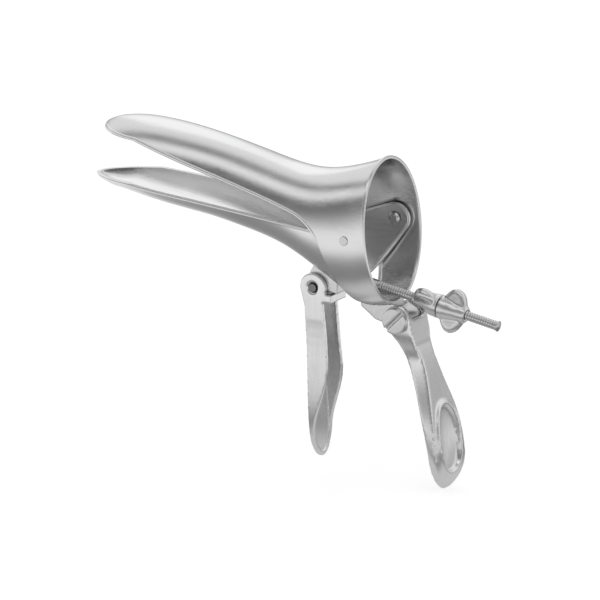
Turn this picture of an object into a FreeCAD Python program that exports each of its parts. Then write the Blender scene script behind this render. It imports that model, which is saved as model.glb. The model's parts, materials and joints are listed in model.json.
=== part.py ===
import FreeCAD, Part
import math
import os

# A bivalve speculum in millimetres. X runs back along the viewing ring, Z is up, Y is to the far side.
# The pivot of the two blades is the origin, and the blades stand a little open, at the rest opening.

os.makedirs("parts", exist_ok=True)

Vector = FreeCAD.Vector
ALONG_X = Vector(1, 0, 0)
ALONG_Y = Vector(0, 1, 0)
ALONG_Z = Vector(0, 0, 1)
FULL_TURN = 360.0

# Driving sizes: every value is set once here, and the sheet and all pieces read it.
SIZES = {
    # sheet metal of the blades
    "sheet_wall": 1.2,
    # line where the two blades meet, seen from the side
    "upper_parting_angle": 14.3,
    "lower_parting_angle": 4.3,
    "parting_start": 14.0,
    "parting_bend": 97.0,
    "upper_tip_bend": 12.0,
    "lower_tip_bend": 6.5,
    "tip_reach": 126.0,
    # front edge of the ring, where it sweeps down from the upper blade
    "sweep_corner_x": -14.5,
    "sweep_foot_x": -1.0,
    "sweep_foot_z": -28.1,
    "sweep_radius": 20.0,
    # plane of the rear rim
    "rim_top_x": 6.4,
    "rim_bottom_x": 11.6,
    "rim_top_z": 29.0,
    "rim_bottom_z": -27.5,
    "rim_overrun": 12.0,
    "trim_half": 40.0,
    # rivets that join the lower blade's ears to the ring
    "ear_radius": 6.0,
    "rear_edge_x": -9.0,
    "rear_edge_z": -24.5,
    "rivet_radius": 1.7,
    "rivet_head_radius": 2.5,
    "rivet_crown_radius": 1.4,
    "rivet_head_height": 1.1,
    "rivet_stand": 0.35,
    "running_fit": 0.05,
    "bore_overrun": 1.0,
    # lever pin and its bracket under the lower blade
    "lever_pin_x": -21.9,
    "lever_pin_z": -24.5,
    "lever_pin_radius": 1.5,
    "lever_lug_radius": 4.4,
    "lever_lug_half": 4.0,
    "lever_tab_x": -22.2,
    "lever_tab_z": -15.5,
    "lever_heel_x": -12.4,
    "lever_heel_z": -24.2,
    "lever_heel_height": 2.0,
    "lever_heel_root_angle": -8.0,
    # thumb lever, a channel open to the rear
    "lever_half": 5.9,
    "lever_wall": 1.7,
    "lever_ear_radius": 5.5,
    "lever_length": 65.4,
    "lever_front_top": 3.6,
    "lever_web_start": 7.0,
    "lever_web": 1.1,
    "lever_rim": 0.6,
    "lever_stop_height": 3.2,
    "lever_stop_depth": 3.6,
    "lever_stop_gap": 0.3,
    "countersink_radius": 2.6,
    "countersink_depth": 0.9,
    # hinge of the rear handle
    "handle_pin_x": 14.6,
    "handle_pin_z": -31.8,
    "handle_pin_radius": 2.2,
    "handle_eye_radius": 5.5,
    "handle_half": 7.0,
    "tongue_half": 4.0,
    "tongue_radius": 4.2,
    "side_gap": 0.2,
    "fork_depth": 5.6,
    "fork_rear_rise": 0.7,
    "tongue_front_x": -2.3,
    "tongue_front_z": -29.0,
    "tongue_knee_x": 3.8,
    "tongue_knee_z": -33.4,
    # rear handle
    "handle_length": 63.8,
    "handle_tip_lead": 0.6,
    "dish_half_length": 18.0,
    "dish_half_width": 8.2,
    "dish_depth": 3.0,
    "dish_rise": 0.35,
    "screw_head_radius": 5.0,
    "screw_head_height": 2.1,
    "screw_slot_width": 1.3,
    "screw_slot_depth": 1.0,
    "screw_slot_angle": 45.0,
    # spindle and its hinge inside the lower blade
    "spindle_radius": 1.8,
    "spindle_pin_x": -8.5,
    "spindle_pin_z": -19.3,
    "spindle_tilt": 9.87,
    "spindle_length": 63.0,
    "spindle_eye_radius": 2.5,
    "spindle_eye_half": 1.75,
    "spindle_pin_radius": 1.0,
    "spindle_end_flare": 0.25,
    "clevis_half": 3.6,
    "clevis_radius": 2.5,
    "clevis_foot_front": 5.0,
    "clevis_foot_rear": 2.0,
    "clevis_floor": 3.2,
    # wing nuts on the spindle
    "nut_station": 38.8,
    "nut_gap": 0.3,
    "nut_length": 11.2,
    "nut_base_radius": 4.6,
    "nut_tail_radius": 2.9,
    "wing_station": 5.4,
    "wing_along": 5.4,
    "wing_radial": 8.4,
    "wing_thick": 2.1,
    "wing_round": 1.9,
    "inner_wing_turn": 46.0,
    "outer_wing_turn": -12.0,
    "thread_fit": 0.05,
}

# Sections of the upper blade and ring: place along X, top, half width and half height of the tube.
UPPER_SECTIONS = [
    (-113.0, 25.6, 1.6, 1.6),
    (-111.5, 26.9, 4.8, 4.8),
    (-108.5, 28.3, 9.5, 9.5),
    (-104.0, 29.4, 14.5, 14.5),
    (-97.0, 30.1, 18.0, 18.0),
    (-88.0, 30.0, 18.0, 18.0),
    (-75.0, 28.8, 17.6, 18.2),
    (-60.0, 26.4, 16.8, 18.0),
    (-45.0, 23.3, 16.9, 18.5),
    (-33.0, 20.9, 17.4, 19.0),
    (-24.0, 20.2, 18.3, 20.3),
    (-16.0, 21.0, 19.3, 22.6),
    (-8.0, 23.0, 20.0, 25.0),
    (0.0, 25.7, 20.6, 27.0),
    (7.0, 28.7, 21.2, 28.3),
    (14.0, 31.9, 21.9, 29.6),
]
# Sections of the lower blade: place along X, bottom, half width and half height of the tube.
LOWER_SECTIONS = [
    (-116.3, 5.3, 1.6, 1.6),
    (-114.8, 4.1, 4.6, 4.6),
    (-111.5, 3.0, 8.2, 8.2),
    (-106.5, 2.0, 12.5, 12.5),
    (-99.0, 1.2, 17.0, 17.0),
    (-88.0, -0.6, 19.0, 19.0),
    (-73.0, -2.4, 19.0, 19.0),
    (-58.0, -4.5, 18.2, 18.2),
    (-44.0, -7.4, 17.3, 17.3),
    (-33.0, -10.7, 16.9, 16.9),
    (-24.0, -15.0, 16.8, 17.4),
    (-16.0, -19.6, 17.2, 20.0),
    (-8.0, -24.6, 17.8, 24.8),
    (0.0, -28.5, 18.3, 28.5),
    (9.0, -31.0, 18.6, 31.0),
]
# How far the inside of a blade starts behind its outside at the first sections, in walls of sheet.
TIP_SETBACK = [1.0, 0.8, 0.45, 0.2]

# Rear edge of the lever's walls: drop below the lever pin, distance behind it.
LEVER_REAR = [
    (4.0, 4.5),
    (19.2, 5.5),
    (26.8, 6.1),
    (32.6, 6.3),
    (38.3, 5.4),
    (43.0, 4.0),
    (48.1, 2.4),
    (52.0, 1.5),
]
# Half width of the lever below its pin: drop, half width.
LEVER_WIDTHS = [
    (12.0, 5.9),
    (26.0, 6.0),
    (38.0, 6.8),
    (48.0, 7.3),
    (55.0, 7.1),
    (60.0, 5.9),
]

# Outline of the handle below its hinge: drop below the hinge, front and rear measured back from it.
HANDLE_PROFILE = [
    (9.0, 0.2, 7.6),
    (13.0, 2.3, 9.5),
    (18.0, 4.7, 11.5),
    (26.0, 8.0, 14.2),
    (36.0, 11.9, 17.1),
    (46.0, 14.9, 18.8),
    (54.0, 16.3, 19.6),
]
# Half width of the handle: drop below the hinge, half width.
HANDLE_WIDTHS = [
    (5.0, 7.0),
    (8.5, 6.3),
    (12.5, 5.3),
    (18.0, 5.5),
    (26.0, 7.2),
    (36.0, 9.9),
    (45.0, 11.0),
    (52.0, 11.0),
    (59.0, 8.4),
]

doc = FreeCAD.newDocument("bivalve_speculum")
sheet = doc.addObject("Spreadsheet::Sheet", "sizes")
NODES = []


def fill_sheet():
    """Write the driving sizes and the blade sections into the sheet, one named cell each."""
    cells = dict(SIZES)
    for name, sections in (("upper", UPPER_SECTIONS), ("lower", LOWER_SECTIONS)):
        for number, (along, crown, half_width, half_height) in enumerate(sections):
            cells[f"{name}_{number}_along"] = along
            cells[f"{name}_{number}_crown"] = crown
            cells[f"{name}_{number}_width"] = half_width
            cells[f"{name}_{number}_height"] = half_height
    for row, (name, value) in enumerate(cells.items(), start=1):
        sheet.set(f"A{row}", name)
        sheet.set(f"B{row}", str(value))
        sheet.setAlias(f"B{row}", name)
    doc.recompute()


def size(name):
    return float(sheet.get(name))


def bind(item, **bindings):
    """Bind properties to expressions; a double underscore stands for a dot in a property's name."""
    for prop, expression in bindings.items():
        item.setExpression(prop.replace("__", "."), expression)


def add(kind, name, **bindings):
    item = doc.addObject(kind, name)
    bind(item, **bindings)
    return item


def cylinder_y(name, x, y, z, radius, length):
    """A cylinder along +Y; every argument is an expression."""
    item = add("Part::Cylinder", name, Radius=radius, Height=length)
    item.Placement = FreeCAD.Placement(Vector(), FreeCAD.Rotation(ALONG_X, -90))
    bind(item, Placement__Base__x=x, Placement__Base__y=y, Placement__Base__z=z)
    return item


def boolean(kind, name, base, tool):
    item = doc.addObject(kind, name)
    item.Base = base
    item.Tool = tool
    return item


def cut(name, base, tool):
    return boolean("Part::Cut", name, base, tool)


def common(name, base, tool):
    return boolean("Part::Common", name, base, tool)


def fuse(name, shapes):
    item = doc.addObject("Part::MultiFuse", name)
    item.Shapes = shapes
    item.Refine = True
    return item


def node(item, label):
    """Mark a finished piece; its label names its file."""
    item.Label = label
    NODES.append(item)
    return item


def face_of(name, edges):
    """A flat outline that an extrusion reads."""
    item = doc.addObject("Part::Feature", name)
    item.Shape = Part.Face(Part.Wire(Part.__sortEdges__(edges)))
    return item


def extrude_y(name, outline, half):
    """Extrude an outline to both sides of the middle plane; half is an expression."""
    item = add("Part::Extrusion", name, LengthFwd=half, LengthRev=half)
    item.Base = outline
    item.Dir = ALONG_Y
    item.Solid = True
    return item


def extrude_x(name, outline):
    """Extrude an outline far to both sides along X."""
    item = add("Part::Extrusion", name, LengthFwd="sizes.tip_reach", LengthRev="sizes.tip_reach")
    item.Base = outline
    item.Dir = ALONG_X
    item.Solid = True
    return item


def polyline(points):
    return [Part.makeLine(a, b) for a, b in zip(points, points[1:])]


def spline(points):
    curve = Part.BSplineCurve()
    curve.interpolate(points)
    return curve.toShape()


def side(x, z):
    """A point in the middle plane."""
    return Vector(x, 0, z)


def polar(radius, degrees, centre=None):
    """A point in the middle plane at an angle counted up from +X."""
    angle = math.radians(degrees)
    return (centre or Vector()) + side(radius * math.cos(angle), radius * math.sin(angle))


def tangent(point, centre, radius, turn):
    """Where the tangent from a point touches a circle; turn is 1 for counter-clockwise, -1 for clockwise."""
    arm = point - centre
    angle = math.atan2(arm.z, arm.x) + turn * math.acos(radius / arm.Length)
    return polar(radius, math.degrees(angle), centre)


def arc_between(start, end, centre, radius):
    """The arc that runs clockwise, seen from the near side, from one point to the other."""
    first = math.degrees(math.atan2(start.z - centre.z, start.x - centre.x))
    last = math.degrees(math.atan2(end.z - centre.z, end.x - centre.x))
    middle = first - ((first - last) % FULL_TURN) / 2
    return Part.Arc(start, polar(radius, middle, centre), end).toShape()


def parting_line(angle, tip_bend):
    """Start, bend and far end of the line where a blade ends towards the other blade."""
    start = polar(size("parting_start"), 180 - angle)
    bend = polar(size("parting_bend"), 180 - angle)
    beyond = size("tip_reach") - size("parting_bend")
    return start, bend, polar(beyond, 180 - angle + tip_bend, bend)


def tube(name, blade, count, crown_sign, inset):
    """A loft through the sections of a blade, inset by a number of sheet walls."""
    sections = []
    for number in range(count):
        cell = f"sizes.{blade}_{number}_"
        setback = inset * (TIP_SETBACK + [0.0] * count)[number]
        item = add(
            "Part::Ellipse",
            f"{name}_{number}",
            MajorRadius=f"{cell}height - {inset} * sizes.sheet_wall",
            MinorRadius=f"{cell}width - {inset} * sizes.sheet_wall",
        )
        item.Placement = FreeCAD.Placement(Vector(), FreeCAD.Rotation(ALONG_Y, -90))
        bind(
            item,
            Placement__Base__x=f"{cell}along + {setback} * sizes.sheet_wall",
            Placement__Base__z=f"{cell}crown - {crown_sign} * {cell}height",
        )
        sections.append(item)
    loft = doc.addObject("Part::Loft", name)
    loft.Sections = sections
    loft.Solid = True
    loft.Ruled = False
    return loft


def upper_trim():
    """Everything behind and above the upper blade's edge, up to the plane of the rear rim."""
    start, bend, tip = parting_line(size("upper_parting_angle"), size("upper_tip_bend"))
    corner_x = size("sweep_corner_x")
    corner = bend + (start - bend) * ((corner_x - bend.x) / (start.x - bend.x))
    foot = side(size("sweep_foot_x"), size("sweep_foot_z"))
    down = (foot - corner).normalize()
    forward = (bend - corner).normalize()
    half_turn = math.acos(down.dot(forward)) / 2
    reach = size("sweep_radius") / math.tan(half_turn)
    middle_way = (down + forward).normalize()
    centre = corner + middle_way * (size("sweep_radius") / math.sin(half_turn))
    arc_start = corner + forward * reach
    arc_end = corner + down * reach
    arc = Part.Arc(arc_start, centre - middle_way * size("sweep_radius"), arc_end).toShape()
    rim_top = side(size("rim_top_x"), size("rim_top_z"))
    rim_bottom = side(size("rim_bottom_x"), size("rim_bottom_z"))
    lean = (rim_top - rim_bottom).normalize() * size("rim_overrun")
    above = rim_top + lean
    below = rim_bottom - lean
    foot_end = foot + down * size("rim_overrun")
    front_top = side(tip.x, above.z)
    edges = polyline([front_top, tip, bend, arc_start]) + [arc] + polyline([arc_end, foot_end, below, above, front_top])
    return extrude_y("upper_trim", face_of("upper_outline", edges), "sizes.trim_half")


def lower_trim():
    """Everything below the lower blade's rim, with the ears round the pivot and the sloping rear edge."""
    start, bend, tip = parting_line(size("lower_parting_angle"), size("lower_tip_bend"))
    radius = size("ear_radius")
    rear = side(size("rear_edge_x"), size("rear_edge_z"))
    front_touch = tangent(start, Vector(), radius, -1)
    rear_touch = tangent(rear, Vector(), radius, 1)
    ear = arc_between(front_touch, rear_touch, Vector(), radius)
    bottom = rear.z - size("rim_overrun")
    edges = polyline([tip, bend, start, front_touch]) + [ear]
    edges += polyline([rear_touch, rear, side(rear.x, bottom), side(tip.x, bottom), tip])
    return extrude_y("lower_trim", face_of("lower_outline", edges), "sizes.trim_half")


def rivet_holes(name, clearance):
    """The bore through both walls at the pivot."""
    radius = f"sizes.rivet_radius + {clearance}"
    return cylinder_y(name, "0", "-sizes.trim_half", "0", radius, "2 * sizes.trim_half")


def upper_blade(outer):
    shell = cut("upper_shell", outer, tube("upper_inside", "upper", len(UPPER_SECTIONS), 1, 1))
    formed = common("upper_formed", shell, upper_trim())
    return node(cut("upper_bored", formed, rivet_holes("upper_bore", "0")), "upper_blade")


def lower_blade(outer, inside):
    shell = cut("lower_shell", outer, inside)
    formed = common("lower_formed", shell, lower_trim())
    bored = cut("lower_bored", formed, rivet_holes("lower_bore", "sizes.running_fit"))
    return node(bored, "lower_blade")


def pivot_rivets():
    """One rivet each side: flush outside the ring, with a domed head inside the ear."""
    ring = f"sizes.upper_{ring_section()}_width"
    ear = f"sizes.lower_{ear_section()}_width - sizes.sheet_wall"
    inner = f"({ear} - sizes.rivet_stand)"
    outer = f"({ring} + sizes.rivet_stand)"
    head_top = f"({inner} - sizes.rivet_head_height)"
    for label, sign in (("near_pivot_rivet", -1), ("far_pivot_rivet", 1)):
        low = head_top if sign > 0 else f"-{outer}"
        shank = cylinder_y(f"{label}_shank", "0", low, "0", "sizes.rivet_radius", f"{outer} - {head_top}")
        head = add(
            "Part::Cone",
            f"{label}_head",
            Radius1="sizes.rivet_head_radius",
            Radius2="sizes.rivet_crown_radius",
            Height="sizes.rivet_head_height",
        )
        head.Placement = FreeCAD.Placement(Vector(), FreeCAD.Rotation(ALONG_X, 90 * sign))
        bind(head, Placement__Base__y=f"{sign} * {inner}")
        node(fuse(f"{label}_body", [shank, head]), label)


def ring_section():
    return [row[0] for row in UPPER_SECTIONS].index(0.0)


def ear_section():
    return [row[0] for row in LOWER_SECTIONS].index(0.0)


def handle_bracket(outer):
    """The tongue under the ring that the handle's fork straddles, shaped to the ring's outside."""
    eye = side(size("handle_pin_x"), size("handle_pin_z"))
    radius = size("tongue_radius")
    front = side(size("tongue_front_x"), size("tongue_front_z"))
    knee = side(size("tongue_knee_x"), size("tongue_knee_z"))
    inside_z = size("sweep_foot_z") + size("handle_eye_radius")
    front_top = side(front.x, inside_z)
    rear_top = side(size("rim_bottom_x"), size("rim_bottom_z") + size("sheet_wall"))
    knee_touch = tangent(knee, eye, radius, 1)
    rear_touch = tangent(rear_top, eye, radius, -1)
    edges = polyline([front_top, front, knee, knee_touch])
    edges.append(arc_between(rear_touch, knee_touch, eye, radius))
    edges += polyline([rear_touch, rear_top, front_top])
    blank = extrude_y("tongue_blank", face_of("tongue_outline", edges), "sizes.tongue_half")
    seated = cut("tongue_seated", blank, outer)
    bore = cylinder_y(
        "tongue_bore",
        "sizes.handle_pin_x",
        "-sizes.tongue_half - sizes.bore_overrun",
        "sizes.handle_pin_z",
        "sizes.handle_pin_radius + sizes.running_fit",
        "2 * sizes.tongue_half + 2 * sizes.bore_overrun",
    )
    return node(cut("tongue", seated, bore), "handle_bracket")


def lever_bracket(outer):
    """The lug under the lower blade that the lever's ears straddle, shaped to the blade's outside."""
    eye = side(size("lever_pin_x"), size("lever_pin_z"))
    radius = size("lever_lug_radius")
    tab = side(size("lever_tab_x"), size("lever_tab_z"))
    heel = side(size("lever_heel_x"), size("lever_heel_z"))
    heel_foot = heel - side(0, size("lever_heel_height"))
    inside_z = size("lever_tab_z") + size("lever_ear_radius")
    tab_top = side(tab.x, inside_z)
    heel_top = side(heel.x, inside_z)
    tab_touch = tangent(tab, eye, radius, 1)
    heel_touch = polar(radius, size("lever_heel_root_angle"), eye)
    edges = polyline([tab_top, tab, tab_touch])
    edges.append(arc_between(heel_touch, tab_touch, eye, radius))
    edges += polyline([heel_touch, heel_foot, heel, heel_top, tab_top])
    blank = extrude_y("lug_blank", face_of("lug_outline", edges), "sizes.lever_lug_half")
    seated = cut("lug_seated", blank, outer)
    bore = cylinder_y(
        "lug_bore",
        "sizes.lever_pin_x",
        "-sizes.lever_lug_half - sizes.bore_overrun",
        "sizes.lever_pin_z",
        "sizes.lever_pin_radius + sizes.running_fit",
        "2 * sizes.lever_lug_half + 2 * sizes.bore_overrun",
    )
    return node(cut("lug", seated, bore), "lever_bracket")


def lever_pin():
    """The pin through the lever's ears, flush with them."""
    pin = cylinder_y(
        "lever_pin_body",
        "sizes.lever_pin_x",
        "-sizes.lever_half",
        "sizes.lever_pin_z",
        "sizes.lever_pin_radius",
        "2 * sizes.lever_half",
    )
    return node(pin, "lever_pin")


def lever_front():
    """Top and bottom of the lever's front edge, its direction down and the direction across it to the rear."""
    eye = side(size("lever_pin_x"), size("lever_pin_z"))
    top = eye - side(size("lever_front_top"), size("lever_web_start"))
    bottom = eye - side(0, size("lever_length"))
    down = (bottom - top).normalize()
    return eye, top, bottom, down, Vector(-down.z, 0, down.x)


def across_the_lever(name, inset):
    """The lever's front outline, inset by an amount, as a solid that runs through in X."""
    eye = lever_front()[0]
    widest = LEVER_WIDTHS[0][1] - inset
    above = eye.z + size("lever_ear_radius") * 2
    left = [Vector(0, inset - width, eye.z - drop) for drop, width in LEVER_WIDTHS]
    right = [Vector(0, width - inset, eye.z - drop) for drop, width in LEVER_WIDTHS]
    tip = Vector(0, 0, eye.z - size("lever_length") + inset)
    edges = polyline([left[0], Vector(0, -widest, above), Vector(0, widest, above), right[0]])
    edges.append(spline(right + [tip] + left[::-1]))
    return extrude_x(name, face_of(f"{name}_outline", edges))


def thumb_lever():
    """A channel: two side walls and a front web, round ears on the pin and a stop bar across its rear."""
    eye, top, bottom, down, across = lever_front()
    radius = size("lever_ear_radius")
    start = eye - side(radius, 0)
    rear_points = [eye + side(back, -drop) for drop, back in LEVER_REAR]
    tail = bottom + across * (size("lever_web") + size("lever_rim"))
    last = tail - down * (size("lever_length") - LEVER_REAR[-1][0]) / 2
    ear_end = polar(radius, math.degrees(math.atan2(-LEVER_REAR[0][0], LEVER_REAR[0][1])), eye)
    ear = arc_between(start, ear_end, eye, radius)
    rear = spline([ear_end] + rear_points[1:] + [last, tail])
    edges = [ear, rear] + polyline([tail, bottom, top, start])
    profile = extrude_y("lever_profile", face_of("lever_outline", edges), "sizes.lever_half * 2")
    blank = common("lever_blank", profile, across_the_lever("lever_widths", 0))
    web_top = top + across * size("lever_web")
    beyond = down * size("lever_length")
    corners = [web_top, web_top + beyond, web_top + beyond + across * size("lever_length")]
    corners += [eye + side(size("lever_length"), radius * 2), eye + side(-radius * 2, radius * 2)]
    corners += [side(eye.x - radius * 2, web_top.z), web_top]
    room = extrude_y("lever_room", face_of("lever_room_outline", polyline(corners)), "sizes.lever_half * 2")
    hollow = common("lever_hollow", room, across_the_lever("lever_inner_widths", size("lever_wall")))
    stop = add(
        "Part::Box",
        "lever_stop",
        Length="sizes.lever_stop_depth",
        Width="2 * sizes.lever_half",
        Height="sizes.lever_stop_height",
        Placement__Base__x="sizes.lever_heel_x - sizes.lever_stop_depth - sizes.lever_wall",
        Placement__Base__y="-sizes.lever_half",
        Placement__Base__z=(
            "sizes.lever_heel_z - sizes.lever_heel_height - sizes.lever_stop_gap - sizes.lever_stop_height"
        ),
    )
    whole = fuse("lever_whole", [cut("lever_channelled", blank, hollow), stop])
    bore = cylinder_y(
        "lever_bore",
        "sizes.lever_pin_x",
        "-sizes.lever_half - sizes.bore_overrun",
        "sizes.lever_pin_z",
        "sizes.lever_pin_radius + sizes.running_fit",
        "2 * sizes.lever_half + 2 * sizes.bore_overrun",
    )
    sinks = [countersink("lever_near_sink", -1), countersink("lever_far_sink", 1)]
    return node(cut("lever", whole, fuse("lever_holes", [bore] + sinks)), "thumb_lever")


def countersink(name, sign):
    """The conical mouth of the pin's hole in one ear; sign is -1 on the near side."""
    sink = add(
        "Part::Cone",
        name,
        Radius1="sizes.countersink_radius",
        Radius2="sizes.lever_pin_radius",
        Height="sizes.countersink_depth",
    )
    sink.Placement = FreeCAD.Placement(Vector(), FreeCAD.Rotation(ALONG_X, sign * 90))
    bind(
        sink,
        Placement__Base__x="sizes.lever_pin_x",
        Placement__Base__y=f"{sign} * sizes.lever_half",
        Placement__Base__z="sizes.lever_pin_z",
    )
    return sink


def handle_blank():
    """Side outline of the handle crossed with its front outline."""
    eye = side(size("handle_pin_x"), size("handle_pin_z"))
    radius = size("handle_eye_radius")
    front = [eye + side(x, -drop) for drop, x, _ in HANDLE_PROFILE]
    rear = [eye + side(x, -drop) for drop, _, x in HANDLE_PROFILE]
    end = eye + side((HANDLE_PROFILE[-1][1] + HANDLE_PROFILE[-1][2]) / 2 - size("handle_tip_lead"), -size("handle_length"))
    front_touch = tangent(front[0], eye, radius, -1)
    rear_touch = tangent(rear[0], eye, radius, 1)
    edges = [arc_between(front_touch, rear_touch, eye, radius)]
    edges += polyline([rear_touch, rear[0]])
    edges.append(spline(rear + [end]))
    edges.append(spline([end] + front[::-1]))
    edges += polyline([front[0], front_touch])
    profile = extrude_y("handle_profile", face_of("handle_outline", edges), "sizes.trim_half")
    widest = size("handle_half")
    top = eye.z + radius * 2
    left = [Vector(0, -width, eye.z - drop) for drop, width in HANDLE_WIDTHS]
    right = [Vector(0, width, eye.z - drop) for drop, width in HANDLE_WIDTHS]
    tip = Vector(0, 0, eye.z - size("handle_length"))
    front_edges = polyline([left[0], Vector(0, -widest, top), Vector(0, widest, top), right[0]])
    front_edges.append(spline(right + [tip] + left[::-1]))
    return common("handle_blank", profile, extrude_x("handle_widths", face_of("handle_front", front_edges)))


def fork_slot():
    """Room for the tongue: deep in front, round about the pin, and shallow behind it."""
    gap = "(sizes.tongue_half + sizes.side_gap)"
    reach = "sizes.handle_eye_radius * 2"
    front = add(
        "Part::Box",
        "fork_front",
        Length=reach,
        Width=f"2 * {gap}",
        Height=f"{reach} + sizes.fork_depth",
        Placement__Base__x=f"sizes.handle_pin_x - {reach}",
        Placement__Base__y=f"-{gap}",
        Placement__Base__z="sizes.handle_pin_z - sizes.fork_depth",
    )
    rear = add(
        "Part::Box",
        "fork_rear",
        Length=f"{reach} * 2",
        Width=f"2 * {gap}",
        Height=reach,
        Placement__Base__x=f"sizes.handle_pin_x - {reach}",
        Placement__Base__y=f"-{gap}",
        Placement__Base__z="sizes.handle_pin_z + sizes.fork_rear_rise",
    )
    middle = cylinder_y(
        "fork_round",
        "sizes.handle_pin_x",
        f"-{gap}",
        "sizes.handle_pin_z",
        "sizes.tongue_radius + sizes.side_gap * 2",
        f"2 * {gap}",
    )
    return fuse("fork_slot", [front, rear, middle])


def rear_handle():
    """A forged handle with a fork at the top and a thumb dish in its rear face."""
    forked = cut("handle_forked", handle_blank(), fork_slot())
    bore = cylinder_y(
        "handle_bore",
        "sizes.handle_pin_x",
        "-sizes.handle_half - sizes.bore_overrun",
        "sizes.handle_pin_z",
        "sizes.handle_pin_radius",
        "2 * sizes.handle_half + 2 * sizes.bore_overrun",
    )
    bored = cut("handle_bored", forked, bore)
    drop, _, rear = HANDLE_PROFILE[5]
    above_drop, _, above_rear = HANDLE_PROFILE[4]
    lean = math.degrees(math.atan2(rear - above_rear, drop - above_drop))
    dish = add(
        "Part::Ellipsoid",
        "handle_dish",
        Radius1="sizes.dish_half_length",
        Radius2="sizes.dish_depth",
        Radius3="sizes.dish_half_width",
    )
    dish.Placement = FreeCAD.Placement(Vector(), FreeCAD.Rotation(ALONG_Y, -lean))
    bind(
        dish,
        Placement__Base__x=f"sizes.handle_pin_x + {rear} + sizes.dish_depth * sizes.dish_rise",
        Placement__Base__z=f"sizes.handle_pin_z - {drop}",
    )
    return node(cut("handle", bored, dish), "rear_handle")


def handle_screw():
    """The large slotted screw that holds the handle's fork to its bracket."""
    shank = cylinder_y(
        "screw_shank",
        "sizes.handle_pin_x",
        "-sizes.handle_half - sizes.screw_head_height / 2",
        "sizes.handle_pin_z",
        "sizes.handle_pin_radius",
        "2 * sizes.handle_half + sizes.screw_head_height / 2",
    )
    head = cylinder_y(
        "screw_head",
        "sizes.handle_pin_x",
        "-sizes.handle_half - sizes.screw_head_height",
        "sizes.handle_pin_z",
        "sizes.screw_head_radius",
        "sizes.screw_head_height",
    )
    whole = fuse("screw_whole", [shank, head])
    slot = add(
        "Part::Box",
        "screw_slot",
        Length="sizes.screw_head_radius * 4",
        Width="sizes.screw_slot_depth + sizes.bore_overrun",
        Height="sizes.screw_slot_width",
    )
    # The box turns about its own corner, so its corner is set back along its turned length and height.
    turn = FreeCAD.Rotation(ALONG_Y, -size("screw_slot_angle"))
    corner = turn.multVec(Vector(-size("screw_head_radius") * 2, 0, -size("screw_slot_width") / 2))
    slot.Placement = FreeCAD.Placement(corner + side(size("handle_pin_x"), size("handle_pin_z")), turn)
    bind(slot, Placement__Base__y="-sizes.handle_half - sizes.screw_head_height - sizes.bore_overrun")
    return node(cut("screw", whole, slot), "handle_screw")


def spindle_clevis(inside):
    """Two lugs on a floor plate that follows the inside of the lower blade."""
    eye = side(size("spindle_pin_x"), size("spindle_pin_z"))
    radius = size("clevis_radius")
    bottom = size("rear_edge_z") - size("rim_overrun")
    front = side(eye.x - size("clevis_foot_front"), eye.z - size("clevis_floor"))
    rear = side(eye.x + size("clevis_foot_rear"), eye.z - size("clevis_floor"))
    front_touch = tangent(front, eye, radius, -1)
    rear_touch = tangent(rear, eye, radius, 1)
    edges = polyline([side(front.x, bottom), front, front_touch])
    edges.append(arc_between(front_touch, rear_touch, eye, radius))
    edges += polyline([rear_touch, rear, side(rear.x, bottom), side(front.x, bottom)])
    blank = extrude_y("clevis_blank", face_of("clevis_outline", edges), "sizes.clevis_half")
    gap = "(sizes.spindle_eye_half + sizes.side_gap)"
    slot = add(
        "Part::Box",
        "clevis_slot",
        Length="sizes.clevis_foot_front * 4",
        Width=f"2 * {gap}",
        Height="sizes.clevis_floor + sizes.clevis_radius * 2",
        Placement__Base__x="sizes.spindle_pin_x - sizes.clevis_foot_front * 2",
        Placement__Base__y=f"-{gap}",
        Placement__Base__z="sizes.spindle_pin_z - sizes.clevis_floor",
    )
    slotted = cut("clevis_slotted", blank, slot)
    seated = common("clevis_seated", slotted, common("clevis_room", inside, lower_room()))
    bore = cylinder_y(
        "clevis_bore",
        "sizes.spindle_pin_x",
        "-sizes.clevis_half - sizes.bore_overrun",
        "sizes.spindle_pin_z",
        "sizes.spindle_pin_radius",
        "2 * sizes.clevis_half + 2 * sizes.bore_overrun",
    )
    return node(cut("clevis", seated, bore), "spindle_clevis")


def lower_room():
    """The space above the lower blade's trough, ahead of its rear edge and a little beyond."""
    low = size("rear_edge_z") - size("rim_overrun")
    rear_x = size("spindle_pin_x") + size("clevis_foot_rear") + size("clevis_radius")
    front_x = size("spindle_pin_x") - size("clevis_foot_front") * 2
    corners = [side(front_x, low), side(rear_x, low), side(rear_x, 0), side(front_x, 0), side(front_x, low)]
    return extrude_y("clevis_bounds", face_of("clevis_bounds_outline", polyline(corners)), "sizes.clevis_half * 2")


def spindle_pin():
    pin = cylinder_y(
        "spindle_pin_body",
        "sizes.spindle_pin_x",
        "-sizes.clevis_half",
        "sizes.spindle_pin_z",
        "sizes.spindle_pin_radius",
        "2 * sizes.clevis_half",
    )
    return node(pin, "spindle_pin")


def along_spindle(item, station):
    """Stand an item that is made along +Z on the spindle's line, at a station that is an expression."""
    tilt = size("spindle_tilt")
    item.Placement = FreeCAD.Placement(Vector(), FreeCAD.Rotation(ALONG_Y, 90 + tilt))
    bind(
        item,
        Placement__Base__x=f"sizes.spindle_pin_x + ({station}) * cos(sizes.spindle_tilt * 1 deg)",
        Placement__Base__z=f"sizes.spindle_pin_z - ({station}) * sin(sizes.spindle_tilt * 1 deg)",
    )
    return item


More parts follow.
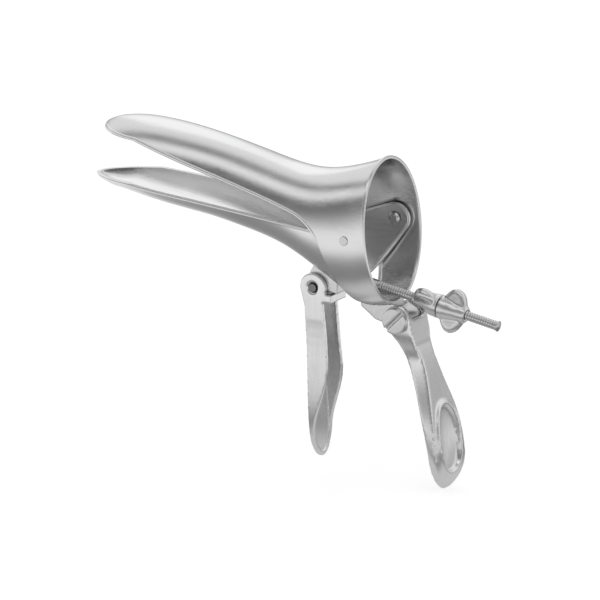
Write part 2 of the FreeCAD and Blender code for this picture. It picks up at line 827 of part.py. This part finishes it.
def spindle():
    """A round rod with a flat eye at its front and a slightly flared end."""
    rod = add("Part::Cylinder", "spindle_rod", Radius="sizes.spindle_radius", Height="sizes.spindle_length")
    along_spindle(rod, "0")
    flare = add(
        "Part::Cone",
        "spindle_flare",
        Radius1="sizes.spindle_radius",
        Radius2="sizes.spindle_radius + sizes.spindle_end_flare",
        Height="sizes.spindle_end_flare * 3",
    )
    along_spindle(flare, "sizes.spindle_length")
    eye = cylinder_y(
        "spindle_eye",
        "sizes.spindle_pin_x",
        "-sizes.spindle_eye_half",
        "sizes.spindle_pin_z",
        "sizes.spindle_eye_radius",
        "2 * sizes.spindle_eye_half",
    )
    flats = add(
        "Part::Box",
        "spindle_flats",
        Length="sizes.spindle_length * 2",
        Width="2 * sizes.spindle_eye_half",
        Height="sizes.spindle_length * 2",
        Placement__Base__x="-sizes.spindle_length",
        Placement__Base__y="-sizes.spindle_eye_half",
        Placement__Base__z="-sizes.spindle_length - sizes.spindle_length / 2",
    )
    near_eye = add(
        "Part::Sphere",
        "spindle_near_eye",
        Radius="sizes.clevis_foot_front + sizes.spindle_eye_radius",
        Placement__Base__x="sizes.spindle_pin_x",
        Placement__Base__z="sizes.spindle_pin_z",
    )
    whole = fuse("spindle_whole", [rod, flare, eye])
    sides = cut("spindle_sides", near_eye, flats)
    flattened = cut("spindle_flattened", whole, sides)
    bore = cylinder_y(
        "spindle_bore",
        "sizes.spindle_pin_x",
        "-sizes.clevis_half",
        "sizes.spindle_pin_z",
        "sizes.spindle_pin_radius + sizes.running_fit",
        "2 * sizes.clevis_half",
    )
    return node(cut("spindle", flattened, bore), "spindle")


def wings(label, station, direction, turn):
    """A rounded oval plate through the hub, in a plane turned about the spindle."""
    tilt = FreeCAD.Rotation(ALONG_Y, 90 + size("spindle_tilt"))
    plane = tilt * FreeCAD.Rotation(ALONG_Z, turn)
    outline = add(
        "Part::Ellipse",
        f"{label}_oval",
        MajorRadius="sizes.wing_radial",
        MinorRadius="sizes.wing_along",
    )
    along_spindle(outline, f"{station} + {direction} * sizes.wing_station")
    outline.Placement.Rotation = plane * FreeCAD.Rotation(ALONG_X, 90)
    plate = add(
        "Part::Extrusion",
        f"{label}_plate",
        LengthFwd="sizes.wing_thick",
        LengthRev="sizes.wing_thick",
    )
    plate.Base = outline
    plate.Dir = plane.multVec(ALONG_Y)
    plate.Solid = True
    doc.recompute()
    rounded = doc.addObject("Part::Fillet", f"{label}_wings")
    rounded.Base = plate
    rims = [n for n, edge in enumerate(plate.Shape.Edges, start=1) if edge.isClosed()]
    rounded.Edges = [(n, size("wing_round"), size("wing_round")) for n in rims]
    return rounded


def wing_nut(label, station, direction, turn):
    """A nut with two round wings; direction is 1 with its tail to the rear, -1 with its tail forward."""
    low = station if direction > 0 else f"{station} - sizes.nut_length"
    ends = ["sizes.nut_base_radius", "sizes.nut_tail_radius"][::direction]
    hub = add("Part::Cone", f"{label}_hub", Radius1=ends[0], Radius2=ends[1], Height="sizes.nut_length")
    along_spindle(hub, low)
    bore = add(
        "Part::Cylinder",
        f"{label}_bore",
        Radius="sizes.spindle_radius + sizes.thread_fit",
        Height="sizes.nut_length * 3",
    )
    along_spindle(bore, f"{low} - sizes.nut_length")
    rest = wings(label, station, direction, turn)
    bored = [cut(f"{label}_{part.Name[-3:]}_bored", part, bore) for part in (hub, rest)]
    return node(fuse(f"{label}_body", bored), label)


def export():
    """Check every object, then write one file for each finished piece."""
    doc.recompute()
    bad = [o.Name for o in doc.Objects if {"Invalid", "Error"} & set(o.State)]
    if bad:
        raise RuntimeError(f"objects in error: {bad}")
    for item in NODES:
        shape = item.Shape
        if shape.isNull() or not shape.isValid() or not shape.Solids:
            raise RuntimeError(f"{item.Label} has no valid solid")
        shape.exportStep(f"parts/{item.Label}.step")


fill_sheet()
upper_outside = tube("upper_outside", "upper", len(UPPER_SECTIONS), 1, 0)
lower_outside = tube("lower_outside", "lower", len(LOWER_SECTIONS), -1, 0)
lower_inside = tube("lower_inside", "lower", len(LOWER_SECTIONS), -1, 1)
upper_blade(upper_outside)
handle_bracket(upper_outside)
lower_blade(lower_outside, lower_inside)
lever_bracket(lower_outside)
pivot_rivets()
lever_pin()
thumb_lever()
rear_handle()
handle_screw()
spindle_clevis(lower_inside)
spindle_pin()
spindle()
wing_nut("inner_wing_nut", "(sizes.nut_station - sizes.nut_gap / 2)", -1, size("inner_wing_turn"))
wing_nut("outer_wing_nut", "(sizes.nut_station + sizes.nut_gap / 2)", 1, size("outer_wing_turn"))
export()
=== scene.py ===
import json
import math

import bmesh
import bpy
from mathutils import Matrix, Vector, noise
from mathutils.bvhtree import BVHTree


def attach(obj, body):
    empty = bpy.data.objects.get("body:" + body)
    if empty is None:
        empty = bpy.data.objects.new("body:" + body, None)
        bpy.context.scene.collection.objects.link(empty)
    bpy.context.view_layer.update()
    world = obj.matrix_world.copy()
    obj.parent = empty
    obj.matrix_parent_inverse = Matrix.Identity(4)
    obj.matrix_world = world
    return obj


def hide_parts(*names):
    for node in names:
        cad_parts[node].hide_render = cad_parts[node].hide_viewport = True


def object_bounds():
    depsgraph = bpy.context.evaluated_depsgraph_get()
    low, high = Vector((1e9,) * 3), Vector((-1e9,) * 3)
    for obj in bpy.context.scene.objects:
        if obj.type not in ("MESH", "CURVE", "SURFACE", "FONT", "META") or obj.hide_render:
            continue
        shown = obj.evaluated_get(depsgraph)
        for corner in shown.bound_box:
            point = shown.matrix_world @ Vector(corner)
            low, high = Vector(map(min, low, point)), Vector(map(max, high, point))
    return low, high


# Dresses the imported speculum: thread, rolled rims, forged and cast forms, satin steel, studio.
# Everything is in metres, in the frame of the CAD model. X runs back, Y to the far side, Z up.

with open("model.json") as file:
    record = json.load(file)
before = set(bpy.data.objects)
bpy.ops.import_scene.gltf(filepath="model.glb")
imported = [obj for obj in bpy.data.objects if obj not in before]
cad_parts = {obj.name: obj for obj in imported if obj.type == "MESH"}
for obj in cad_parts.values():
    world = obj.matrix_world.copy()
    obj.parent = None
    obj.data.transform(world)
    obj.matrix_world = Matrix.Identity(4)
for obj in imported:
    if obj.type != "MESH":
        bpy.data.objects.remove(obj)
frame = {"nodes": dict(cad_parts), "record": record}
cad_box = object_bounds()
NODES = frame["nodes"]
MM = 0.001
FULL = 2 * math.pi
BODY_OF = {
    node: body
    for body, nodes in frame["record"]["behaviour"]["bodies"].items()
    for node in nodes
}


# Node trees


def fresh_tree(owner, output):
    """An empty node tree on a material or the world, and its output's surface socket."""
    owner.use_nodes = True
    tree = owner.node_tree
    tree.nodes.clear()
    return tree, tree.nodes.new(output).inputs["Surface"]


def maths(tree, operation, first, second=None):
    """One step of arithmetic on a socket, with a number or another socket."""
    node = tree.nodes.new("ShaderNodeMath")
    node.operation = operation
    tree.links.new(first, node.inputs[0])
    if isinstance(second, float):
        node.inputs[1].default_value = second
    elif second is not None:
        tree.links.new(second, node.inputs[1])
    return node.outputs["Value"]


def ranged(tree, value, span, low, high):
    """A value taken from one span of numbers to the range from low to high."""
    node = tree.nodes.new("ShaderNodeMapRange")
    node.inputs["From Min"].default_value = span[0]
    node.inputs["From Max"].default_value = span[1]
    node.inputs["To Min"].default_value = low
    node.inputs["To Max"].default_value = high
    tree.links.new(value, node.inputs["Value"])
    return node.outputs["Result"]


def colour_mix(tree, kind="MIX"):
    """A node that mixes two colours."""
    node = tree.nodes.new("ShaderNodeMix")
    node.data_type = "RGBA"
    node.blend_type = kind
    return node


def grey_ramp(tree, value, stops):
    """A grey read from a list of places and levels."""
    low, high = stops[0][0], stops[-1][0]
    ramp = tree.nodes.new("ShaderNodeValToRGB")
    elements = ramp.color_ramp.elements
    while len(elements) < len(stops):
        elements.new(0.5)
    for element, (place, grey) in zip(elements, stops):
        element.position = (place - low) / (high - low)
        element.color = (grey, grey, grey, 1)
    tree.links.new(ranged(tree, value, (low, high), 0.0, 1.0), ramp.inputs["Fac"])
    return ramp.outputs["Color"]


# Materials


NOISE_SPAN = (0.3, 0.7)
NOISE_DETAIL = 4.0
DARKEST, LIGHTEST = 0.96, 1.03
BLUE_TINT = 1.004
POLISH_SPREAD = 0.12
WORN_EDGE = 0.3 * MM
BUMP_DEPTH = 0.02 * MM
EVEN = (1.0, 1.0, 1.0)
ALONG_BLADE = (12.0, 1.0, 1.0)
DOWN_GRIP = (1.0, 1.0, 10.0)
ACROSS_BRACKET = (1.0, 6.0, 1.0)


def stretched_noise(tree, scale, stretch):
    """Noise in the object's own space, drawn out along the axes whose stretch is large."""
    coordinates = tree.nodes.new("ShaderNodeTexCoord")
    mapping = tree.nodes.new("ShaderNodeMapping")
    mapping.inputs["Scale"].default_value = [1.0 / s for s in stretch]
    texture = tree.nodes.new("ShaderNodeTexNoise")
    texture.inputs["Scale"].default_value = scale
    texture.inputs["Detail"].default_value = NOISE_DETAIL
    tree.links.new(coordinates.outputs["Object"], mapping.inputs["Vector"])
    tree.links.new(mapping.outputs["Vector"], texture.inputs["Vector"])
    return texture.outputs["Fac"]


def steel(name, grey, roughness, stretch, grain=900.0, cloud=60.0, bump=0.05):
    """Satin steel: cloudy polish, fine grinding lines, a faint bump and softly worn edges."""
    material = bpy.data.materials.new(name)
    tree, surface = fresh_tree(material, "ShaderNodeOutputMaterial")
    shader = tree.nodes.new("ShaderNodeBsdfPrincipled")
    shader.inputs["Metallic"].default_value = 1.0
    tree.links.new(shader.outputs["BSDF"], surface)
    lines = stretched_noise(tree, grain, stretch)
    clouds = stretched_noise(tree, cloud, EVEN)
    tone = colour_mix(tree)
    for socket, share in (("A", DARKEST), ("B", LIGHTEST)):
        level = grey * share
        tone.inputs[socket].default_value = (level, level, level * BLUE_TINT, 1)
    tree.links.new(clouds, tone.inputs["Factor"])
    tree.links.new(tone.outputs["Result"], shader.inputs["Base Color"])
    spread = roughness * POLISH_SPREAD
    polish = ranged(tree, clouds, NOISE_SPAN, roughness - spread, roughness + spread)
    wear = ranged(tree, lines, NOISE_SPAN, -spread, spread)
    tree.links.new(maths(tree, "ADD", polish, wear), shader.inputs["Roughness"])
    edge = tree.nodes.new("ShaderNodeBevel")
    edge.inputs["Radius"].default_value = WORN_EDGE
    height = tree.nodes.new("ShaderNodeBump")
    height.inputs["Strength"].default_value = bump
    height.inputs["Distance"].default_value = BUMP_DEPTH
    tree.links.new(lines, height.inputs["Height"])
    tree.links.new(edge.outputs["Normal"], height.inputs["Normal"])
    tree.links.new(height.outputs["Normal"], shader.inputs["Normal"])
    return material


BLADE = steel("blade_satin_steel", 0.74, 0.24, ALONG_BLADE)
GRIP = steel("grip_satin_steel", 0.78, 0.25, DOWN_GRIP)
BRACKET = steel("bracket_steel", 0.68, 0.30, ACROSS_BRACKET)
PIN = steel("pin_steel", 0.62, 0.28, EVEN)
# The lever pin's steel is painted dark as painted shade, standing in for the shade in the lever's
# countersink round the pin's end.
PIN_PAINTED_SHADE = steel("pin_steel_painted_shade", 0.22, 0.35, EVEN)
NUT = steel("nut_steel", 0.72, 0.30, EVEN, grain=1400.0, cloud=240.0, bump=0.08)
THREAD = steel("thread_steel", 0.62, 0.30, EVEN, grain=1400.0, cloud=240.0, bump=0.1)

FINISH = {
    "upper_blade": BLADE,
    "lower_blade": BLADE,
    "handle_bracket": BRACKET,
    "lever_bracket": BRACKET,
    "spindle_clevis": BRACKET,
    "near_pivot_rivet": PIN,
    "far_pivot_rivet": PIN,
    "lever_pin": PIN_PAINTED_SHADE,
    "spindle_pin": PIN,
    "thumb_lever": GRIP,
    "rear_handle": GRIP,
    "handle_screw": BRACKET,
    "spindle": THREAD,
    "inner_wing_nut": NUT,
    "outer_wing_nut": NUT,
}

for name, node in NODES.items():
    node.data.materials.clear()
    node.data.materials.append(FINISH[name])


# Meshes


TOUCHING = 1e-6


def welded(node):
    """A node's mesh as one connected shape."""
    shape = bmesh.new()
    shape.from_mesh(NODES[node].data)
    bmesh.ops.remove_doubles(shape, verts=shape.verts, dist=TOUCHING)
    return shape


def mesh_from(name, shape):
    """A shape written to a new mesh and freed."""
    mesh = bpy.data.meshes.new(name)
    shape.to_mesh(mesh)
    shape.free()
    return mesh


def add_piece(name, mesh, node, replace=True):
    """Adds a mesh that rides with a node's body and stands for the node, or only adds to it."""
    mesh.materials.clear()
    mesh.materials.append(FINISH[node])
    mesh.polygons.foreach_set("use_smooth", [True] * len(mesh.polygons))
    item = bpy.data.objects.new(name, mesh)
    bpy.context.scene.collection.objects.link(item)
    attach(item, BODY_OF[node])
    if replace:
        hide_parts(node)


def in_the_box(mesh):
    """Keeps every point of a mesh inside the CAD model's box."""
    low, high = cad_box
    for vertex in mesh.vertices:
        for axis in range(3):
            vertex.co[axis] = min(max(vertex.co[axis], low[axis]), high[axis])


def skin(shape, rows):
    """Adds the faces between rows of points that go round, and gives them back."""
    faces = []
    for first, second in zip(rows, rows[1:]):
        for side in range(len(first)):
            after = (side + 1) % len(first)
            corners = (first[side], first[after], second[after], second[side])
            faces.append(shape.faces.new(corners))
    return faces


# The spindle's thread


TILT = math.radians(9.87)
EYE = Vector((-8.5, 0.0, -19.3)) * MM
ALONG = Vector((math.cos(TILT), 0.0, -math.sin(TILT)))
ACROSS = Vector((0.0, 1.0, 0.0))
RISING = ALONG.cross(ACROSS)
# The thread's lengths in mm. Its start and end are measured from the eye.
THREAD_START = 12.0
THREAD_END = 62.6
THREAD_PITCH = 1.0
THREAD_RADIUS = 1.8
THREAD_DEPTH = 0.34
THREAD_OVERLAP = 0.3
THREAD_RUNOUT = 1.5
RINGS_PER_PITCH = 8
THREAD_SIDES = 28
SHARP = math.radians(50.0)
CUT_TOLERANCE = 1e-8


def cut_at(shape, station, keep_front):
    """Keeps the part of a shape on one side of a station on the spindle's line, and closes it."""
    result = bmesh.ops.bisect_plane(
        shape,
        geom=shape.verts[:] + shape.edges[:] + shape.faces[:],
        dist=CUT_TOLERANCE,
        plane_co=EYE + ALONG * station * MM,
        plane_no=ALONG,
        clear_outer=keep_front,
        clear_inner=not keep_front,
    )
    rim = [item for item in result["geom_cut"] if isinstance(item, bmesh.types.BMEdge)]
    bmesh.ops.edgeloop_fill(shape, edges=rim)


def threaded_rod(shape):
    """Adds a rod with a helical thread that runs out to the full radius at both ends."""
    start = THREAD_START - THREAD_OVERLAP
    length = THREAD_END + THREAD_OVERLAP - start
    count = int(length / THREAD_PITCH * RINGS_PER_PITCH)
    rows = []
    for index in range(count + 1):
        along = length * index / count
        fade = min(1.0, along / THREAD_RUNOUT, (length - along) / THREAD_RUNOUT)
        row = []
        for side in range(THREAD_SIDES):
            turn = side / THREAD_SIDES
            groove = 0.5 - 0.5 * math.cos(FULL * (along / THREAD_PITCH - turn))
            radius = (THREAD_RADIUS - THREAD_DEPTH * fade * groove) * MM
            out = ACROSS * math.cos(FULL * turn) + RISING * math.sin(FULL * turn)
            row.append(shape.verts.new(EYE + ALONG * (start + along) * MM + out * radius))
        rows.append(row)
    skin(shape, rows)
    shape.faces.new(rows[0][::-1])
    shape.faces.new(rows[-1])


def threaded_spindle():
    """The spindle's eye and peened end from the CAD, with a real thread between them."""
    whole = bmesh.new()
    for station, keep_front in ((THREAD_START, True), (THREAD_END, False)):
        part = welded("spindle")
        cut_at(part, station, keep_front)
        held = mesh_from("part", part)
        whole.from_mesh(held)
        bpy.data.meshes.remove(held)
    threaded_rod(whole)
    bmesh.ops.recalc_face_normals(whole, faces=whole.faces)
    mesh = mesh_from("threaded_spindle", whole)
    add_piece("threaded_spindle", mesh, "spindle")
    mesh.set_sharp_from_angle(angle=SHARP)


# Rolled rims and the edge of the thumb dish


RIM_LENGTH = 60 * MM
RIM_STEP = 0.9 * MM
RIM_PROUD = 0.1 * MM
RIM_SIDES = 12
RIM_SMOOTHING = 5
WIDEST_WALL = 2.0 * MM
WALL_SLACK = 1.5
DISH_ANGLE = math.radians(20.0)
DISH_TOP = -55 * MM
DISH_RIM = 0.95 * MM
DISH_SHIFT = Vector((0.3, 0.0, 0.0)) * MM
SHORTEST_SQUARED = 1e-18


def line_length(points):
    """The length of a line through some points."""
    return sum((b - a).length for a, b in zip(points, points[1:]))


def hard_lines(node, least=SHARP):
    """A node's hard edges as pairs of points, and the long closed loops that they make."""
    shape = welded(node)
    inner = [edge for edge in shape.edges if len(edge.link_faces) == 2]
    hard = [edge for edge in inner if edge.calc_face_angle(0.0) > least]
    joined = {}
    for edge in hard:
        for vertex in edge.verts:
            joined.setdefault(vertex, []).append(edge)
    loops = []
    used = set()
    for edge in hard:
        if edge in used:
            continue
        used.add(edge)
        first, here = edge.verts
        points = [first.co.copy(), here.co.copy()]
        while here is not first:
            onward = [item for item in joined[here] if item not in used]
            if len(joined[here]) != 2 or not onward:
                break
            used.add(onward[0])
            here = onward[0].other_vert(here)
            points.append(here.co.copy())
        if here is first and line_length(points) > RIM_LENGTH:
            loops.append(points[:-1])
    segments = [(edge.verts[0].co.copy(), edge.verts[1].co.copy()) for edge in hard]
    shape.free()
    return segments, loops


def resampled(points, step):
    """A closed line's points at even spacing."""
    ring = points + points[:1]
    lengths = [(b - a).length for a, b in zip(ring, ring[1:])]
    total = sum(lengths)
    count = int(total / step)
    result = []
    index = 0
    passed = 0.0
    for number in range(count):
        target = total * number / count
        while passed + lengths[index] < target:
            passed += lengths[index]
            index += 1
        share = (target - passed) / lengths[index]
        result.append(ring[index].lerp(ring[index + 1], share))
    return result


def nearest(point, segments):
    """The nearest place on a set of straight lines."""
    best = None
    for a, b in segments:
        run = b - a
        along = (point - a).dot(run) / max(run.length_squared, SHORTEST_SQUARED)
        place = a + run * min(max(along, 0.0), 1.0)
        if best is None or (place - point).length < (best - point).length:
            best = place
    return best


def rim_path(outer, others, surface):
    """A line inside a free edge, half a wall behind its end face, and that half wall."""
    points = resampled(outer, RIM_STEP)
    offsets = [nearest(point, others) - point for point in points]
    walls = sorted(offset.length for offset in offsets)
    wall = walls[len(walls) // 2]
    known = None
    # The second time round reaches the points before the first good offset.
    for _ in range(2):
        for index, offset in enumerate(offsets):
            if offset is None or offset.length > min(WIDEST_WALL, wall * WALL_SLACK):
                offsets[index] = known
            else:
                known = offset
    path = []
    for point, offset in zip(points, offsets):
        middle = point + offset / 2
        outward = surface.find_nearest(middle)[1]
        path.append(middle - outward * wall / 2)
    for _ in range(RIM_SMOOTHING):
        ahead = path[1:] + path[:1]
        path = [(path[i - 1] + path[i] * 2 + ahead[i]) / 4 for i in range(len(path))]
    return path, wall / 2


def add_tube(shape, path, radius):
    """Adds a closed round tube along a path, its last row joined to the first without a twist."""
    rows = []
    upward = (path[1] - path[-1]).normalized().orthogonal()
    for index, centre in enumerate(path):
        heading = (path[(index + 1) % len(path)] - path[index - 1]).normalized()
        upward = (upward - heading * upward.dot(heading)).normalized()
        sideways = heading.cross(upward)
        row = []
        for side in range(RIM_SIDES):
            turn = FULL * side / RIM_SIDES
            out = upward * math.cos(turn) + sideways * math.sin(turn)
            row.append(shape.verts.new(centre + out * radius))
        rows.append(row)
    start, end = rows[0], rows[-1][0]
    shift = min(range(RIM_SIDES), key=lambda side: (start[side].co - end.co).length)
    faces = skin(shape, rows + [start[shift:] + start[:shift]])
    bmesh.ops.recalc_face_normals(shape, faces=faces)


def rims(node):
    """A round bead along each long free edge of a formed sheet, one for its two hard lines."""
    segments, loops = hard_lines(node)
    shape = welded(node)
    surface = BVHTree.FromBMesh(shape)
    shape.free()
    done = []
    for loop in loops:
        own = {tuple(point) for point in loop}
        others = [(a, b) for a, b in segments if tuple(a) not in own or tuple(b) not in own]
        path, half_wall = rim_path(loop, others, surface)
        if any(min((path[0] - point).length for point in other) < WIDEST_WALL for other in done):
            continue
        done.append(path)
        name = f"{node}_rim_{len(done)}"
        bead = bmesh.new()
        add_tube(bead, path, half_wall + RIM_PROUD)
        mesh = mesh_from(name, bead)
        in_the_box(mesh)
        add_piece(name, mesh, node, replace=False)


def dish_edge():
    """The edge of the handle's thumb dish as a closed line, a little behind its face."""
    loops = hard_lines("rear_handle", DISH_ANGLE)[1]
    low_loops = [loop for loop in loops if max(point.z for point in loop) < DISH_TOP]
    return [point + DISH_SHIFT for point in resampled(low_loops[0], RIM_STEP)]


# Forged, formed and cast copies


# Each piece: its node, the fineness of its mesh in mm, its smoothing passes and its lumps in mm.
SOFTENED = {
    "forged_handle": ("rear_handle", 0.4, 24, 0.0),
    "formed_thumb_lever": ("thumb_lever", 0.3, 8, 0.0),
    "cast_inner_wing_nut": ("inner_wing_nut", 0.22, 40, 0.1),
    "cast_outer_wing_nut": ("outer_wing_nut", 0.22, 40, 0.1),
    "rounded_handle_bracket": ("handle_bracket", 0.25, 8, 0.0),
    "worn_handle_screw": ("handle_screw", 0.2, 14, 0.0),
    "rounded_lever_bracket": ("lever_bracket", 0.25, 4, 0.0),
}
LUMP_WIDTH = 2.6 * MM
SMOOTHING_SHARE = 0.5


def softened(name, node, voxel, passes, lumps, bead):
    """A copy of a node with edges as forging or casting leaves them, and any raised bead."""
    shape = welded(node)
    if bead:
        add_tube(shape, *bead)
    source = bpy.data.objects.new(name + "_source", mesh_from(name + "_source", shape))
    bpy.context.scene.collection.objects.link(source)
    remesh = source.modifiers.new("remesh", "REMESH")
    remesh.mode = "VOXEL"
    remesh.voxel_size = voxel * MM
    smooth = source.modifiers.new("smooth", "SMOOTH")
    smooth.factor = SMOOTHING_SHARE
    smooth.iterations = passes
    graph = bpy.context.evaluated_depsgraph_get()
    mesh = bpy.data.meshes.new_from_object(source.evaluated_get(graph))
    mesh.name = name
    bpy.data.objects.remove(source)
    if lumps:
        normals = [vertex.normal.copy() for vertex in mesh.vertices]
        for vertex, normal in zip(mesh.vertices, normals):
            vertex.co += normal * noise.noise(vertex.co / LUMP_WIDTH) * lumps * MM
    in_the_box(mesh)
    add_piece(name, mesh, node)


threaded_spindle()
rims("upper_blade")
rims("lower_blade")
BEADS = {"forged_handle": (dish_edge(), DISH_RIM)}
for name, values in SOFTENED.items():
    softened(name, *values, BEADS.get(name))


# Studio


WHITE = (1.0, 1.0, 1.0, 1.0)
SOFT_GREY = (0.6, 0.6, 0.6, 1)
# Levels of the room by the angle from the front horizon over the top to the rear, in degrees.
ROOM = [
    (-180, 0.35),
    (-110, 0.5),
    (-60, 0.6),
    (-30, 0.95),
    (-8, 0.95),
    (5, 0.7),
    (15, 0.42),
    (25, 0.24),
    (35, 0.16),
    (44, 0.16),
    (50, 0.6),
    (56, 1.0),
    (67, 1.05),
    (74, 0.5),
    (80, 0.25),
    (86, 0.3),
    (93, 0.7),
    (102, 0.92),
    (145, 0.9),
    (160, 0.78),
    (172, 0.5),
    (180, 0.4),
]
# The floor's light as the steel mirrors it: a level by the distance from the origin in metres,
# times a share by Y.
FLOOR_SEEN_IN_STEEL = [
    (0.0, 0.5),
    (0.045, 0.5),
    (0.075, 0.12),
    (0.12, 0.16),
    (0.165, 0.34),
    (0.2, 0.7),
    (0.26, 0.85),
    (0.6, 0.85),
]
FLOOR_TO_THE_REAR = [(-0.6, 1.0), (0.28, 1.0), (0.6, 0.5), (0.9, 0.45)]
FLOOR_COLOUR = 0.8
FLOOR_GLOW = 0.55
MIRRORED_FLOOR_COLOUR = 0.25
FLOOR_REACH = 3.0
FLOOR_GAP = 0.2 * MM
MIDDLE = Vector((-0.02, 0.0, -0.02))
# Each lamp: its place, width, height and power.
LAMPS = {
    "key": ((0.15, -0.45, 0.55), 0.5, 0.5, 0.15),
    "back_strip": ((-0.35, 0.45, 0.35), 0.25, 0.6, 0.15),
}
CAMERA_TURN = math.radians(30.0)
CAMERA_RISE = math.radians(15.3)
CAMERA_DISTANCE = 0.8
CAMERA_CLIP = (0.01, 10.0)
VIEW_WIDTH = 0.2222
VIEW_MIDDLE = Vector((-19.4, -19.3, -25.6)) * MM


def by_ray(tree, camera, mirrored, other):
    """Shows one shader to the camera, one in metal and glass, and another to soft light."""
    path = tree.nodes.new("ShaderNodeLightPath").outputs
    both = maths(tree, "MAXIMUM", path["Is Glossy Ray"], path["Is Transmission Ray"])
    shader = other.outputs[0]
    for share, seen in ((both, mirrored), (path["Is Camera Ray"], camera)):
        mix = tree.nodes.new("ShaderNodeMixShader")
        tree.links.new(share, mix.inputs["Fac"])
        tree.links.new(shader, mix.inputs[1])
        tree.links.new(seen.outputs[0], mix.inputs[2])
        shader = mix.outputs[0]
    return shader


def position(tree, kind):
    """The X, Y and Z of a point or a direction."""
    coordinates = tree.nodes.new("ShaderNodeTexCoord")
    split = tree.nodes.new("ShaderNodeSeparateXYZ")
    tree.links.new(coordinates.outputs[kind], split.inputs["Vector"])
    return split.outputs


def studio_world():
    """A room that is white to the camera and that the steel mirrors as light and dark bands."""
    world = bpy.data.worlds.new("studio")
    bpy.context.scene.world = world
    tree, surface = fresh_tree(world, "ShaderNodeOutputWorld")
    white, soft, room = (tree.nodes.new("ShaderNodeBackground") for _ in range(3))
    white.inputs["Color"].default_value = WHITE
    soft.inputs["Color"].default_value = SOFT_GREY
    direction = position(tree, "Generated")
    forward = maths(tree, "MULTIPLY", direction["Y"], -1.0)
    angle = maths(tree, "DEGREES", maths(tree, "ARCTAN2", direction["Z"], forward))
    tree.links.new(grey_ramp(tree, angle, ROOM), room.inputs["Color"])
    tree.links.new(by_ray(tree, white, room, soft), surface)


def lit_floor(tree, colour, glow_strength=1.0, glow_colour=None):
    """A matt floor with some light of its own."""
    matt = tree.nodes.new("ShaderNodeBsdfDiffuse")
    matt.inputs["Color"].default_value = (colour, colour, colour, 1)
    glow = tree.nodes.new("ShaderNodeEmission")
    glow.inputs["Strength"].default_value = glow_strength
    if glow_colour:
        tree.links.new(glow_colour, glow.inputs["Color"])
    both = tree.nodes.new("ShaderNodeAddShader")
    tree.links.new(matt.outputs[0], both.inputs[0])
    tree.links.new(glow.outputs[0], both.inputs[1])
    return both


def floor_material():
    """Pale to the camera; where the steel mirrors it, it has light and dark rings."""
    material = bpy.data.materials.new("pale_floor")
    tree, surface = fresh_tree(material, "ShaderNodeOutputMaterial")
    place = position(tree, "Object")
    level = tree.nodes.new("ShaderNodeCombineXYZ")
    distance = tree.nodes.new("ShaderNodeVectorMath")
    distance.operation = "LENGTH"
    tree.links.new(place["X"], level.inputs["X"])
    tree.links.new(place["Y"], level.inputs["Y"])
    tree.links.new(level.outputs["Vector"], distance.inputs[0])
    product = colour_mix(tree, "MULTIPLY")
    product.inputs["Factor"].default_value = 1.0
    rings = grey_ramp(tree, distance.outputs["Value"], FLOOR_SEEN_IN_STEEL)
    rear = grey_ramp(tree, place["Y"], FLOOR_TO_THE_REAR)
    tree.links.new(rings, product.inputs["A"])
    tree.links.new(rear, product.inputs["B"])
    seen = lit_floor(tree, FLOOR_COLOUR, FLOOR_GLOW)
    mirrored = lit_floor(tree, MIRRORED_FLOOR_COLOUR, glow_colour=product.outputs["Result"])
    plain = lit_floor(tree, FLOOR_COLOUR, glow_strength=0.0)
    tree.links.new(by_ray(tree, seen, mirrored, plain), surface)
    return material


def floor():
    """A pale floor just under the handle's tip."""
    mesh = bpy.data.meshes.new("floor")
    height = cad_box[0].z - FLOOR_GAP
    turns = ((-1, -1), (1, -1), (1, 1), (-1, 1))
    corners = [(x * FLOOR_REACH, y * FLOOR_REACH, height) for x, y in turns]
    mesh.from_pydata(corners, [], [(0, 1, 2, 3)])
    mesh.materials.append(floor_material())
    plane = bpy.data.objects.new("floor", mesh)
    bpy.context.scene.collection.objects.link(plane)


def put(item, place, direction):
    """Places a lamp or the camera and turns it to look in a direction."""
    item.location = place
    item.rotation_mode = "QUATERNION"
    item.rotation_quaternion = direction.to_track_quat("-Z", "Y")
    bpy.context.scene.collection.objects.link(item)


def soft_box(name, place, width, height, power):
    """A rectangular lamp that looks at the middle of the object."""
    data = bpy.data.lights.new(name, "AREA")
    data.shape = "RECTANGLE"
    data.size = width
    data.size_y = height
    data.energy = power
    put(bpy.data.objects.new(name, data), place, MIDDLE - Vector(place))


def camera():
    """A level orthographic camera, turned round to the rear and raised as in the photograph."""
    level = math.cos(CAMERA_RISE)
    sideways, forward = math.sin(CAMERA_TURN) * level, -math.cos(CAMERA_TURN) * level
    back = Vector((sideways, forward, math.sin(CAMERA_RISE)))
    data = bpy.data.cameras.new("camera")
    data.type = "ORTHO"
    data.ortho_scale = VIEW_WIDTH
    data.clip_start, data.clip_end = CAMERA_CLIP
    item = bpy.data.objects.new("camera", data)
    put(item, VIEW_MIDDLE + back * CAMERA_DISTANCE, -back)
    bpy.context.scene.camera = item


studio_world()
floor()
for name, values in LAMPS.items():
    soft_box(name, *values)
camera()
bpy.context.scene.view_settings.view_transform = "Standard"
